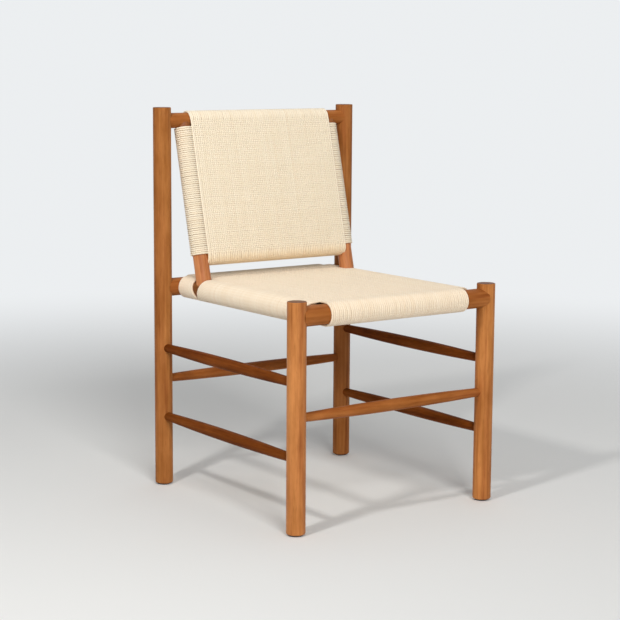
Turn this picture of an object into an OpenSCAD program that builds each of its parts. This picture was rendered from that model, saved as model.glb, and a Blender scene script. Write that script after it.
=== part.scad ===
// Dining chair of turned wood with a cord-woven seat and back.
// Millimetres, +Z up, front towards -Y, origin on the floor under the middle of the legs.

/* [Overall] */
// Distance between the leg axes across the chair
leg_span_x = 476; // [440:1:540]
// Distance between the leg axes from front to back
leg_span_y = 490; // [450:1:540]
// Height of the rear posts above the floor
post_h = 806; // [760:1:880]
// Height of the seat rails' axes above the floor
seat_rail_z = 426; // [410:1:440]
// How far the front legs rise above the seat rails' axes
front_leg_rise = 30; // [26:1:60]
// How far the top back rail's axis lies below the posts' tops
top_rail_drop = 28; // [22:1:60]

/* [Legs] */
// Diameter of the legs and posts
leg_d = 38; // [36:0.5:44]
// Rounding of the edge at the top of each leg
leg_top_round = 1.6; // [0.5:0.1:4]
// Rounding of the edge at the foot of each leg
leg_foot_round = 4; // [1:0.5:5]

/* [Rails] */
// Diameter of the front seat rail
front_rail_d = 40; // [36:0.5:42]
// Diameter of the rear seat rail and of the side seat rails
seat_rail_d = 38; // [34:0.5:40]
// How far the side seat rails sit inwards from the leg axes
side_rail_inset = 50; // [46:1:70]
// Diameter of the top and bottom back rails
back_rail_d = 32; // [28:0.5:34]
// How far a rail thicker than its leg stops short of the leg's axis
rail_trim = 6; // [3:0.5:9]

/* [Back stiles] */
// Diameter of the back stiles
stile_d = 32; // [28:0.5:32]
// How far forward of the rear rail's axis the stiles stand on the side rails
stile_set = 87; // [60:1:120]
// Distance up the stile from the side rail's axis to the bottom back rail's axis
back_gap = 72; // [66:1:110]

/* [Stretchers] */
// Diameter of a stretcher at its middle
stretcher_d = 24.5; // [20:0.5:28]
// Diameter of a stretcher where it meets the leg
stretcher_end_d = 17.5; // [16:0.5:20]
// Height of the upper side stretchers
upper_stretcher_z = 298; // [280:1:340]
// Height of the lower side stretchers
lower_stretcher_z = 150; // [100:1:170]
// Height of the front and rear stretchers
cross_stretcher_z = 230; // [205:1:245]

/* [Joints] */
// Diameter of the seat rails' tenons
rail_tenon_d = 20; // [14:0.5:24]
// Length of the seat rails' and the top rail's tenons inside the legs
rail_tenon_l = 26; // [18:0.5:29]
// Length of the side rails' tenons inside the front and rear rails
side_tenon_l = 22; // [14:0.5:28]
// Diameter of the tenons on the back rails and the stiles
back_tenon_d = 16; // [10:0.5:18]
// Length of the tenons on the stiles and the bottom back rail
back_tenon_l = 18; // [12:0.5:20]
// Diameter of the stretchers' tenons
stretcher_tenon_d = 13; // [8:0.5:15]
// Length of the stretchers' tenons
stretcher_tenon_l = 22; // [14:0.5:28]
// Glue gap round a tenon
glue_gap = 0.1; // [0.05:0.05:0.3]
// Gap left at the bottom of a mortise
mortise_end_gap = 1; // [0.5:0.5:3]
// Gap between a coped shoulder, or a cord, and the wood it lies on
seat_gap = 0.1; // [0.05:0.05:0.2]

/* [Weave] */
// Thickness of the cord wrapped round the side rails and the stiles
cord_d = 4.2; // [2.5:0.1:6]
// Thickness of a woven layer, where two cords cross
weave_t = 4.8; // [3:0.1:7]
// How far the seat's woven sleeve stops short of the side rails' axes
seat_weave_edge = 16; // [10:1:40]
// How far the side wraps stop short of the front and rear rails' axes
side_wrap_stop = 16; // [12:0.5:18]
// Radius of the two edges of the crescent where the cords part round a stile's foot
parting_r = 280; // [100:5:600]
// How far the back's woven sleeve stops short of the stiles' axes
back_weave_edge = 8; // [2:1:20]
// How far above the bottom back rail's axis the stile wraps start
stile_wrap_rise = 3; // [0:0.5:12]

/* [Feet] */
// Diameter of a foot glide
glide_d = 27; // [20:0.5:28]
// Thickness of a foot glide
glide_t = 2.4; // [1.6:0.1:5]
// Diameter of a glide nail's shank
nail_d = 2.2; // [1.6:0.1:3]
// Length of a glide nail above its head
nail_l = 18; // [12:1:26]
// Diameter of a glide nail's head
nail_head_d = 7; // [5:0.5:9]
// Thickness of a glide nail's head
nail_head_t = 0.9; // [0.6:0.1:1.2]

/* [Hidden] */
$fn = 96;
cut = 1;
leg_r = leg_d / 2;
front_rail_r = front_rail_d / 2;
seat_rail_r = seat_rail_d / 2;
back_rail_r = back_rail_d / 2;
stile_r = stile_d / 2;
leg_x = leg_span_x / 2;
leg_y = leg_span_y / 2;
side_x = leg_x - side_rail_inset;
front_leg_h = seat_rail_z + front_leg_rise;
top_rail_z = post_h - top_rail_drop;
// The front rail is thicker than the rear one, so the legs stand back by half the
// difference and the chair as a whole is centred on the origin
centre_y = (front_rail_r - seat_rail_r) / 2;
front_y = centre_y - leg_y;
rear_y = centre_y + leg_y;
// The stile's axis runs from the side rail's axis up to the top rail's axis
stile_lean = atan2(stile_set, top_rail_z - seat_rail_z);
stile_l = norm([stile_set, top_rail_z - seat_rail_z]);
stile_foot_y = rear_y - stile_set;
back_span = stile_l - back_gap;
stretcher_steps = 24;
seat_edge_x = side_x - seat_weave_edge;
back_edge_x = side_x - back_weave_edge;
wrap_from = back_gap + stile_wrap_rise;
wrap_to = stile_l - back_rail_r - seat_gap;
weave_overlap = 1;
cope_l = 4 * leg_d;
glide_bevel = glide_t / 4;
nail_head_z = 0.4;
nail_gap = 0.05;
wood = [0.62, 0.36, 0.17];
cord = [0.94, 0.88, 0.76];
rubber = [0.16, 0.15, 0.14];
steel = [0.72, 0.72, 0.74];

// Frames of reference

// Turns a member drawn along X so that it runs along Y, its carriers' axes along Z
module along_y() {
    rotate([0, 0, 90]) children();
}

// Turns a member drawn along X so that it runs along Y, its carriers' axes along X
module along_y_between_rails() {
    rotate([0, 0, 90]) rotate([90, 0, 0]) children();
}

// Puts what is drawn up the Z axis onto a stile's axis, from the side rail's axis upwards
module on_stile(side) {
    translate([side * side_x, stile_foot_y, seat_rail_z]) rotate([-stile_lean, 0, 0]) children();
}

// Shapes shared by several pieces

// Half section of an upright turned bar with its top and foot edges rounded
module rounded_bar_section(r, z0, z1, top_round, foot_round) {
    translate([0, z0 + foot_round]) square([r, z1 - z0 - foot_round - top_round]);
    translate([0, z0]) square([r - foot_round, foot_round]);
    translate([r - foot_round, z0 + foot_round]) circle(foot_round);
    translate([0, z1 - top_round]) square([r - top_round, top_round]);
    translate([r - top_round, z1 - top_round]) circle(top_round);
}

// A bar along X, centred
module bar(l, d) {
    rotate([0, 90, 0]) cylinder(h = l, d = d, center = true);
}

// A spindle along X, its radius falling as a parabola from the middle to the ends
module spindle(l) {
    drop = (stretcher_d - stretcher_end_d) / 2;
    rim = [for (i = [0 : stretcher_steps])
        let (t = 2 * i / stretcher_steps - 1)
        [stretcher_end_d / 2 + drop * (1 - t * t), t * l / 2]];
    rotate([0, 90, 0]) rotate_extrude() polygon(concat([[0, -l / 2]], rim, [[0, l / 2]]));
}

// A member along X whose ends are coped to upright round carriers and carry tenons.
// The child is the member's body; carrier_d holds the diameters at -X and +X.
module coped_member(span, carrier_d, tenon_d, tenon_l) {
    difference() {
        children();
        for (i = [0, 1])
            translate([(2 * i - 1) * span / 2, 0, 0])
                cylinder(h = cope_l, d = carrier_d[i] + 2 * seat_gap, center = true);
    }
    for (i = [0, 1])
        rotate([0, 0, 180 * (1 - i)])
            translate([span / 2 - carrier_d[i] / 2 - cut, 0, 0])
                rotate([0, 90, 0]) cylinder(h = tenon_l + cut, d = tenon_d);
}

// The mortise for a tenon that enters along +X at a carrier's axis
module mortise(carrier_d, tenon_d, tenon_l) {
    depth = tenon_l + mortise_end_gap;
    translate([-carrier_d / 2 - cut, 0, 0])
        rotate([0, 90, 0]) cylinder(h = depth + cut, d = tenon_d + 2 * glue_gap);
}

// Outline of a sleeve stretched round two bars whose centres are span apart along X
module sleeve_outline(span, r_low, r_high) {
    translate([-span / 2, 0]) circle(r_low);
    translate([span / 2, 0]) circle(r_high);
    polygon([[-span / 2, -r_low], [span / 2, -r_high], [span / 2, r_high], [-span / 2, r_low]]);
}

// Legs and posts

// Mortises that every leg has: two side stretchers along Y and one cross stretcher along X
module stretcher_mortises(side, front) {
    for (z = [upper_stretcher_z, lower_stretcher_z])
        translate([0, 0, z]) rotate([0, 0, front > 0 ? -90 : 90])
            mortise(leg_d, stretcher_tenon_d, stretcher_tenon_l);
    translate([0, 0, cross_stretcher_z]) rotate([0, 0, side > 0 ? 0 : 180])
        mortise(leg_d, stretcher_tenon_d, stretcher_tenon_l);
}

// One leg or post; front is 1 for a front leg and -1 for a rear post
module leg(side, front) {
    h = front > 0 ? front_leg_h : post_h;
    color(wood) translate([side * leg_x, front > 0 ? front_y : rear_y, 0]) difference() {
        rotate_extrude() rounded_bar_section(leg_r, glide_t, h, leg_top_round, leg_foot_round);
        stretcher_mortises(side, front);
        translate([0, 0, seat_rail_z]) rotate([0, 0, side > 0 ? 0 : 180])
            mortise(leg_d, rail_tenon_d, rail_tenon_l);
        if (front < 0)
            translate([0, 0, top_rail_z]) rotate([0, 0, side > 0 ? 0 : 180])
                mortise(leg_d, back_tenon_d, rail_tenon_l);
        translate([0, 0, glide_t - cut])
            cylinder(h = nail_l + mortise_end_gap + cut, d = nail_d + 2 * nail_gap);
    }
}

module rear_post_left() { leg(-1, -1); }
module rear_post_right() { leg(1, -1); }
module front_leg_left() { leg(-1, 1); }
module front_leg_right() { leg(1, 1); }

// Seat rails

// A seat rail between two legs, with the mortises for the side rails; front is 1 or -1
module cross_seat_rail(front, d) {
    color(wood) translate([0, front > 0 ? front_y : rear_y, seat_rail_z]) difference() {
        coped_member(leg_span_x, [leg_d, leg_d], rail_tenon_d, rail_tenon_l)
            bar(leg_span_x - 2 * rail_trim, d);
        for (side = [-1, 1])
            translate([side * side_x, 0, 0]) rotate([0, 0, front > 0 ? -90 : 90])
                mortise(d, rail_tenon_d, side_tenon_l);
    }
}

module front_seat_rail() { cross_seat_rail(1, front_rail_d); }
module rear_seat_rail() { cross_seat_rail(-1, seat_rail_d); }

// A side seat rail between the front and rear rails, with the mortise for the stile's foot
module side_seat_rail(side) {
    color(wood) difference() {
        translate([side * side_x, centre_y, seat_rail_z]) along_y_between_rails()
            coped_member(leg_span_y, [front_rail_d, seat_rail_d], rail_tenon_d, side_tenon_l)
                bar(leg_span_y - 2 * rail_trim, seat_rail_d);
        on_stile(side) stile_foot_tenon(glue_gap, mortise_end_gap);
    }
}

module side_seat_rail_left() { side_seat_rail(-1); }
module side_seat_rail_right() { side_seat_rail(1); }

// Back frame

// A stile's foot tenon on the stile's axis, grown sideways and lengthened for its mortise
module stile_foot_tenon(grow, extra) {
    surface = seat_rail_r / cos(stile_lean);
    translate([0, 0, surface - back_tenon_l - extra])
        cylinder(h = back_tenon_l + extra + seat_rail_r, d = back_tenon_d + 2 * grow);
}

// A stile's top tenon on the stile's axis, grown sideways and lengthened for its mortise
module stile_top_tenon(grow, extra) {
    surface = stile_l - back_rail_r;
    translate([0, 0, surface - back_rail_r])
        cylinder(h = back_tenon_l + extra + back_rail_r, d = back_tenon_d + 2 * grow);
}

// A leaning stile: coped to the side rail and to the top rail, with a tenon at each end
module back_stile(side) {
    color(wood) difference() {
        union() {
            difference() {
                on_stile(side) cylinder(h = stile_l - rail_trim, d = stile_d);
                translate([side * side_x, centre_y, seat_rail_z]) along_y()
                    bar(leg_span_y, seat_rail_d + 2 * seat_gap);
                translate([0, rear_y, top_rail_z]) bar(leg_span_x, back_rail_d + 2 * seat_gap);
            }
            on_stile(side) stile_foot_tenon(0, 0);
            on_stile(side) stile_top_tenon(0, 0);
        }
        on_stile(side) translate([0, 0, back_gap]) rotate([0, 0, side > 0 ? 0 : 180])
            mortise(stile_d, back_tenon_d, back_tenon_l);
    }
}

module back_stile_left() { back_stile(-1); }
module back_stile_right() { back_stile(1); }

// The top rail between the rear posts, with the mortises for the stiles in its underside
module top_back_rail() {
    color(wood) difference() {
        translate([0, rear_y, top_rail_z])
            coped_member(leg_span_x, [leg_d, leg_d], back_tenon_d, rail_tenon_l)
                bar(leg_span_x - 2 * rail_trim, back_rail_d);
        for (side = [-1, 1])
            on_stile(side) stile_top_tenon(glue_gap, mortise_end_gap);
    }
}

// The bottom rail between the stiles, hidden in the weave's lower roll
module bottom_back_rail() {
    color(wood) translate([side_x, 0, 0]) on_stile(-1) translate([0, 0, back_gap])
        coped_member(2 * side_x, [stile_d, stile_d], back_tenon_d, back_tenon_l)
            bar(2 * side_x - 2 * rail_trim, back_rail_d);
}

// Stretchers

// A stretcher across the chair; front is 1 or -1
module cross_stretcher(front) {
    color(wood) translate([0, front > 0 ? front_y : rear_y, cross_stretcher_z])
        coped_member(leg_span_x, [leg_d, leg_d], stretcher_tenon_d, stretcher_tenon_l)
            spindle(leg_span_x - leg_d + 2 * rail_trim);
}

// A stretcher from front to back at height z
module side_stretcher(side, z) {
    color(wood) translate([side * leg_x, centre_y, z]) along_y()
        coped_member(leg_span_y, [leg_d, leg_d], stretcher_tenon_d, stretcher_tenon_l)
            spindle(leg_span_y - leg_d + 2 * rail_trim);
}

module front_stretcher() { cross_stretcher(1); }
module rear_stretcher() { cross_stretcher(-1); }
module upper_stretcher_left() { side_stretcher(-1, upper_stretcher_z); }
module upper_stretcher_right() { side_stretcher(1, upper_stretcher_z); }
module lower_stretcher_left() { side_stretcher(-1, lower_stretcher_z); }
module lower_stretcher_right() { side_stretcher(1, lower_stretcher_z); }

// Feet

// A round glide under one leg, its lower edge bevelled, with a seat for the nail's head
module glide(side, front) {
    color(rubber) translate([side * leg_x, front > 0 ? front_y : rear_y, 0]) difference() {
        union() {
            cylinder(h = glide_bevel, d1 = glide_d - 2 * glide_bevel, d2 = glide_d);
            translate([0, 0, glide_bevel]) cylinder(h = glide_t - glide_bevel, d = glide_d);
        }
        translate([0, 0, -cut]) cylinder(h = glide_t + 2 * cut, d = nail_d + 2 * nail_gap);
        translate([0, 0, -cut])
            cylinder(h = cut + nail_head_z + nail_head_t, d = nail_head_d + 2 * nail_gap);
    }
}

module glide_front_left() { glide(-1, 1); }
module glide_front_right() { glide(1, 1); }
module glide_rear_left() { glide(-1, -1); }
module glide_rear_right() { glide(1, -1); }

// The four nails that hold the glides, driven up into the legs
module glide_nails() {
    color(steel) for (side = [-1, 1], front = [-1, 1])
        translate([side * leg_x, front > 0 ? front_y : rear_y, nail_head_z]) {
            cylinder(h = nail_head_t, d = nail_head_d);
            cylinder(h = glide_t - nail_head_z + nail_l, d = nail_d);
        }
}

// Weave

// Outline of the cords round a bar whose centre lies at x, flat from there inwards as far
// as inner_x, where they meet the woven sleeve
module wrap_outline(x, r, inner_x) {
    difference() {
        union() {
            translate([x, 0]) circle(r);
            translate([inner_x, -r]) square([x - inner_x, 2 * r]);
        }
        translate([inner_x - 2 * r, -2 * r]) square([2 * r, 4 * r]);
    }
}

// The crescent-shaped opening where the cords part round a stile's foot.
// Two arcs of parting_r run from the stile's sides on top of the wrap to a point below.
module cord_parting(side) {
    rise = seat_rail_r + cord_d;
    chord = [stile_r / cos(stile_lean), 2 * rise];
    reach = sqrt(pow(parting_r, 2) - pow(norm(chord) / 2, 2)) / norm(chord);
    centre = [chord[0] / 2 - reach * chord[1], reach * chord[0]];
    depth = 2 * (seat_rail_r + cord_d);
    foot_y = stile_foot_y - centre_y + rise * tan(stile_lean);
    translate([side * side_x + (side > 0 ? 0 : -depth), foot_y, 0])
        rotate([90, 0, 90]) linear_extrude(depth) intersection() {
            translate(centre) circle(parting_r);
            translate([-centre[0], centre[1]]) circle(parting_r);
        }
}

// The seat: a sleeve of warp round the front and rear rails, crossed by weft that wraps
// round the side rails, hollow between its upper and lower layers
module seat_weave() {
    wrap_l = leg_span_y - 2 * side_wrap_stop;
    color(cord) translate([0, centre_y, seat_rail_z]) difference() {
        union() {
            rotate([90, 0, 90]) linear_extrude(2 * seat_edge_x, center = true)
                sleeve_outline(leg_span_y, front_rail_r + weave_t, seat_rail_r + weave_t);
            for (side = [-1, 1])
                mirror([(1 - side) / 2, 0, 0]) rotate([90, 0, 0]) linear_extrude(wrap_l, center = true)
                    wrap_outline(side_x, seat_rail_r + cord_d, seat_edge_x - weave_overlap);
        }
        rotate([90, 0, 90]) linear_extrude(2 * seat_edge_x + cut, center = true)
            sleeve_outline(leg_span_y, front_rail_r + seat_gap, seat_rail_r + seat_gap);
        translate([0, -leg_y, 0]) bar(leg_span_x, front_rail_d + 2 * seat_gap);
        translate([0, leg_y, 0]) bar(leg_span_x, seat_rail_d + 2 * seat_gap);
        for (side = [-1, 1]) {
            translate([side * side_x, 0, 0]) along_y()
                bar(leg_span_y, seat_rail_d + 2 * seat_gap);
            translate([0, -centre_y, -seat_rail_z]) on_stile(side)
                cylinder(h = back_gap, d = stile_d + 2 * seat_gap);
            cord_parting(side);
        }
    }
}

// The back: a sleeve of warp round the top and bottom rails, crossed by weft that wraps
// round the two stiles, hollow between its front and rear layers
module back_weave() {
    color(cord) difference() {
        translate([side_x, 0, 0]) on_stile(-1) difference() {
            union() {
                translate([0, 0, back_gap + back_span / 2]) rotate([0, 90, 0])
                    linear_extrude(2 * back_edge_x, center = true)
                        sleeve_outline(back_span, back_rail_r + weave_t, back_rail_r + weave_t);
                for (side = [-1, 1])
                    mirror([(1 - side) / 2, 0, 0]) translate([0, 0, wrap_from])
                        linear_extrude(wrap_to - wrap_from)
                            wrap_outline(side_x, stile_r + cord_d, back_edge_x - weave_overlap);
            }
            translate([0, 0, back_gap + back_span / 2]) rotate([0, 90, 0])
                linear_extrude(2 * back_edge_x + cut, center = true)
                    sleeve_outline(back_span, back_rail_r + seat_gap, back_rail_r + seat_gap);
        }
        translate([0, rear_y, top_rail_z]) bar(leg_span_x, back_rail_d + 2 * seat_gap);
        for (side = [-1, 1])
            on_stile(side) cylinder(h = stile_l - back_rail_r, d = stile_d + 2 * seat_gap);
    }
}

rear_post_left();
rear_post_right();
front_leg_left();
front_leg_right();
front_seat_rail();
rear_seat_rail();
side_seat_rail_left();
side_seat_rail_right();
top_back_rail();
bottom_back_rail();
back_stile_left();
back_stile_right();
front_stretcher();
rear_stretcher();
upper_stretcher_left();
upper_stretcher_right();
lower_stretcher_left();
lower_stretcher_right();
glide_front_left();
glide_front_right();
glide_rear_left();
glide_rear_right();
glide_nails();
seat_weave();
back_weave();
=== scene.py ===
"""The looks of a dining chair in turned wood with a cord-woven seat and back.

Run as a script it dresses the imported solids: every cord of the seat and back is its own wound
tube, the wood gets a finish whose grain runs along each member, and a plain stage is set up.
Lengths are in metres, +Z up, the chair's front towards -Y.
"""

import math
from types import SimpleNamespace

import bpy
import numpy as np
from bpy.props import FloatProperty, FloatVectorProperty, IntProperty, PointerProperty
from mathutils import Matrix, Vector


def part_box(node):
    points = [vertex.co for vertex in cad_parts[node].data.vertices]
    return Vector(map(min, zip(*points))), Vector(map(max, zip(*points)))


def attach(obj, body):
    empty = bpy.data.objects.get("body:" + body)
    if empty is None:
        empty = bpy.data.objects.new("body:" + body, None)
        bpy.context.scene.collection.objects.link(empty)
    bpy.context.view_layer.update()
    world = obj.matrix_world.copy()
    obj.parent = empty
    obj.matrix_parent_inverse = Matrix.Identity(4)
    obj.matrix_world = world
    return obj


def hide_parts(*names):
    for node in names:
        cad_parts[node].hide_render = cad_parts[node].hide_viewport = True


bl_info = {
    "name": "Cord-woven dining chair",
    "version": (1, 0, 0),
    "blender": (4, 5, 0),
    "location": "View3D > Sidebar > Chair",
    "description": "Winds the seat and back of a turned wooden chair and finishes its wood",
    "category": "Add Mesh",
}

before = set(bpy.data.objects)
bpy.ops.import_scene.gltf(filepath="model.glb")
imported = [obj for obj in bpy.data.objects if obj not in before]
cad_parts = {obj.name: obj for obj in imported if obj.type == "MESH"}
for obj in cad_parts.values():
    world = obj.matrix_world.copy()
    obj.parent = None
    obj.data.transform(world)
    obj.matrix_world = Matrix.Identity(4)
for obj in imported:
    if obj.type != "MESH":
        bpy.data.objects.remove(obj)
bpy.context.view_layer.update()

FRONT_LEGS = ("front_leg_left", "front_leg_right")
REAR_POSTS = ("rear_post_left", "rear_post_right")
CROSSWISE = (
    "front_seat_rail",
    "rear_seat_rail",
    "top_back_rail",
    "bottom_back_rail",
    "front_stretcher",
    "rear_stretcher",
)
SIDE_RAILS = ("side_seat_rail_left", "side_seat_rail_right")
SIDE_STRETCHERS = (
    "upper_stretcher_left",
    "upper_stretcher_right",
    "lower_stretcher_left",
    "lower_stretcher_right",
)
STILES = ("back_stile_left", "back_stile_right")
GLIDES = ("glide_front_left", "glide_front_right", "glide_rear_left", "glide_rear_right")

QUARTER = math.pi / 2
ACROSS = np.array([1.0, 0.0, 0.0])
BACKWARDS = np.array([0.0, 1.0, 0.0])
UPWARDS = np.array([0.0, 0.0, 1.0])

# How far the weave between two rails stands clear of them
CLEAR = 0.0003
# Half a cord's width as a share of the spacing: round a bar, and pressed flat in the weave
WARP_WIDTH = (0.5, 0.46)
WEFT_WIDTH = (0.485, 0.42)
# Rings of a cord on its way round a bar
WARP_ROLL_STEPS = 11
WEFT_ROLL_STEPS = 13


# Where the frame's members are


def axis_of(node, along):
    """Middle of a member's box and its radius, measured across the axis that it runs along."""
    low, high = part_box(node)
    across = [i for i in range(3) if i != along]
    return (low + high) / 2, max(high[i] - low[i] for i in across) / 2


FRONT_RAIL, FRONT_RAIL_R = axis_of("front_seat_rail", 0)
REAR_RAIL, REAR_RAIL_R = axis_of("rear_seat_rail", 0)
SIDE_RAIL, SIDE_RAIL_R = axis_of("side_seat_rail_right", 1)
TOP_RAIL, TOP_RAIL_R = axis_of("top_back_rail", 0)
LOW_RAIL, LOW_RAIL_R = axis_of("bottom_back_rail", 0)

# The stiles lie in the plane through the top rail's and the bottom back rail's axes
LEAN = math.atan2(TOP_RAIL.y - LOW_RAIL.y, TOP_RAIL.z - LOW_RAIL.z)
# Their radius, which the box of a leaning member doesn't give
STILE_R = 0.016
STILE_X = SIDE_RAIL.x
STILE_FOOT_Y = LOW_RAIL.y - (LOW_RAIL.z - SIDE_RAIL.z) * math.tan(LEAN)
UP_STILE = np.array([0.0, math.sin(LEAN), math.cos(LEAN)])
AHEAD = np.array([0.0, -math.cos(LEAN), math.sin(LEAN)])
BACK_HEIGHT = (TOP_RAIL - LOW_RAIL).length


# Settings


class ChairWeave(bpy.types.PropertyGroup):
    """Sizes of the cord and of the weave"""

    cord_d: FloatProperty(
        name="Cord diameter",
        description="Diameter of the cord where it is wound side by side",
        default=0.0042, min=0.002, max=0.006, unit="LENGTH", precision=4,
    )
    warp_pitch: FloatProperty(
        name="Warp spacing",
        description="Distance between neighbouring cords that run front to back or up the back",
        default=0.0046, min=0.003, max=0.01, unit="LENGTH", precision=4,
    )
    weft_pitch: FloatProperty(
        name="Weft spacing",
        description="Distance between neighbouring cords that run across the chair",
        default=0.00425, min=0.003, max=0.01, unit="LENGTH", precision=5,
    )
    flat_t: FloatProperty(
        name="Flattened thickness",
        description="Thickness of a cord where it is pressed flat between the cords it crosses",
        default=0.0025, min=0.001, max=0.005, unit="LENGTH", precision=4,
    )
    warp_crimp: FloatProperty(
        name="Warp crimp",
        description="How far a warp cord rises and dips as it crosses the weft",
        default=0.0009, min=0.0, max=0.003, unit="LENGTH", precision=4,
    )
    weft_crimp: FloatProperty(
        name="Weft crimp",
        description="How far a weft cord rises and dips as it crosses a pair of warp cords",
        default=0.0005, min=0.0, max=0.003, unit="LENGTH", precision=4,
    )
    seat_edge: FloatProperty(
        name="Seat sleeve edge",
        description="How far the seat's warp stops short of the side rails' axes",
        default=0.016, min=0.005, max=0.04, unit="LENGTH",
    )
    back_edge: FloatProperty(
        name="Back sleeve edge",
        description="How far the back's warp stops short of the stiles' axes",
        default=0.008, min=0.002, max=0.03, unit="LENGTH",
    )
    opening_r: FloatProperty(
        name="Crescent radius",
        description="Radius of the two edges of the opening round a stile's foot",
        default=0.28, min=0.1, max=0.6, unit="LENGTH",
    )
    unevenness: FloatProperty(
        name="Unevenness",
        description="How far cords stray sideways from an even spacing",
        default=0.0001, min=0.0, max=0.001, unit="LENGTH", precision=5,
    )
    warp_steps: IntProperty(
        name="Warp steps",
        description="Rings of a warp cord for each weft cord that it crosses",
        default=3, min=2, max=6,
    )
    weft_steps: IntProperty(
        name="Weft steps",
        description="Rings of a weft cord for each pair of warp cords that it crosses",
        default=4, min=3, max=8,
    )


class ChairFinish(bpy.types.PropertyGroup):
    """Colours of the chair's materials"""

    wood_pale: FloatVectorProperty(
        name="Wood, pale",
        description="Colour of the wood between its darker fibres",
        default=(0.59, 0.235, 0.068), subtype="COLOR",
    )
    wood_deep: FloatVectorProperty(
        name="Wood, deep",
        description="Colour of the darker growth bands",
        default=(0.32, 0.106, 0.019), subtype="COLOR",
    )
    rear_tone: FloatProperty(
        name="Rear posts",
        description="How bright the rear posts are next to the front legs",
        default=0.82, min=0.2, max=1.5, subtype="FACTOR",
    )
    stile_tone: FloatVectorProperty(
        name="Stiles",
        description="What the wood's colours are multiplied by on the back's stiles",
        default=(1.23, 1.31, 1.95), subtype="COLOR",
    )
    cross_tone: FloatVectorProperty(
        name="Cross rails",
        description="What the wood's colours are multiplied by on rails and stretchers across",
        default=(0.76, 0.68, 0.62), subtype="COLOR",
    )
    # Painted shade: the side seat rails are made darker, as where they show, in the openings
    # round the stiles' feet, they lie in shade.
    side_rail_shade: FloatProperty(
        name="Side seat rails",
        description="How bright the side seat rails are next to the legs",
        default=0.5, min=0.2, max=1.5, subtype="FACTOR",
    )
    rung_pale: FloatVectorProperty(
        name="Side stretchers, pale",
        description="Colour of the darker stained side stretchers between their fibres",
        default=(0.24, 0.066, 0.01), subtype="COLOR",
    )
    rung_deep: FloatVectorProperty(
        name="Side stretchers, deep",
        description="Colour of the side stretchers' growth bands",
        default=(0.095, 0.02, 0.002), subtype="COLOR",
    )
    cord_pale: FloatVectorProperty(
        name="Cord, pale",
        description="Colour of the cord's raised strands",
        default=(0.905, 0.823, 0.673), subtype="COLOR",
    )
    # Painted shade: the cord takes this colour in the grooves between its strands, and in part
    # by its tone and specks.
    cord_deep: FloatVectorProperty(
        name="Cord, deep",
        description="Colour of the cord between its strands",
        default=(0.77, 0.61, 0.41), subtype="COLOR",
    )
    seat_tint: FloatVectorProperty(
        name="Seat's tint",
        description="What the seat's cord colours are multiplied by",
        default=(1.0, 0.965, 0.95), subtype="COLOR",
    )
    glide: FloatVectorProperty(
        name="Glides",
        description="Colour of the foot glides",
        default=(0.035, 0.032, 0.03), subtype="COLOR",
    )
    steel: FloatVectorProperty(
        name="Nails",
        description="Colour of the glide nails",
        default=(0.6, 0.6, 0.62), subtype="COLOR",
    )


class ChairStage(bpy.types.PropertyGroup):
    """Floor, background and lamps"""

    floor: FloatVectorProperty(
        name="Floor",
        description="Colour of the floor near the chair",
        default=(0.825, 0.827, 0.817), subtype="COLOR",
    )
    wall: FloatVectorProperty(
        name="Background",
        description="Colour that the floor fades to and that fills the background",
        default=(0.84, 0.86, 0.875), subtype="COLOR",
    )
    key: FloatProperty(
        name="Key lamp",
        description="Power of the lamp at the upper left",
        default=25.5, min=0.0, max=1000.0, subtype="POWER",
    )
    fill: FloatProperty(
        name="Front lamp",
        description="Power of the softer lamp in front",
        default=508.0, min=0.0, max=1000.0, subtype="POWER",
    )
    overhead: FloatProperty(
        name="Overhead lamp",
        description="Power of the large lamp above",
        default=20.0, min=0.0, max=1000.0, subtype="POWER",
    )
    sky: FloatProperty(
        name="Ambient light",
        description="Strength of the even light from all round",
        default=0.3, min=0.0, max=5.0,
    )


# Cords as swept tubes


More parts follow.
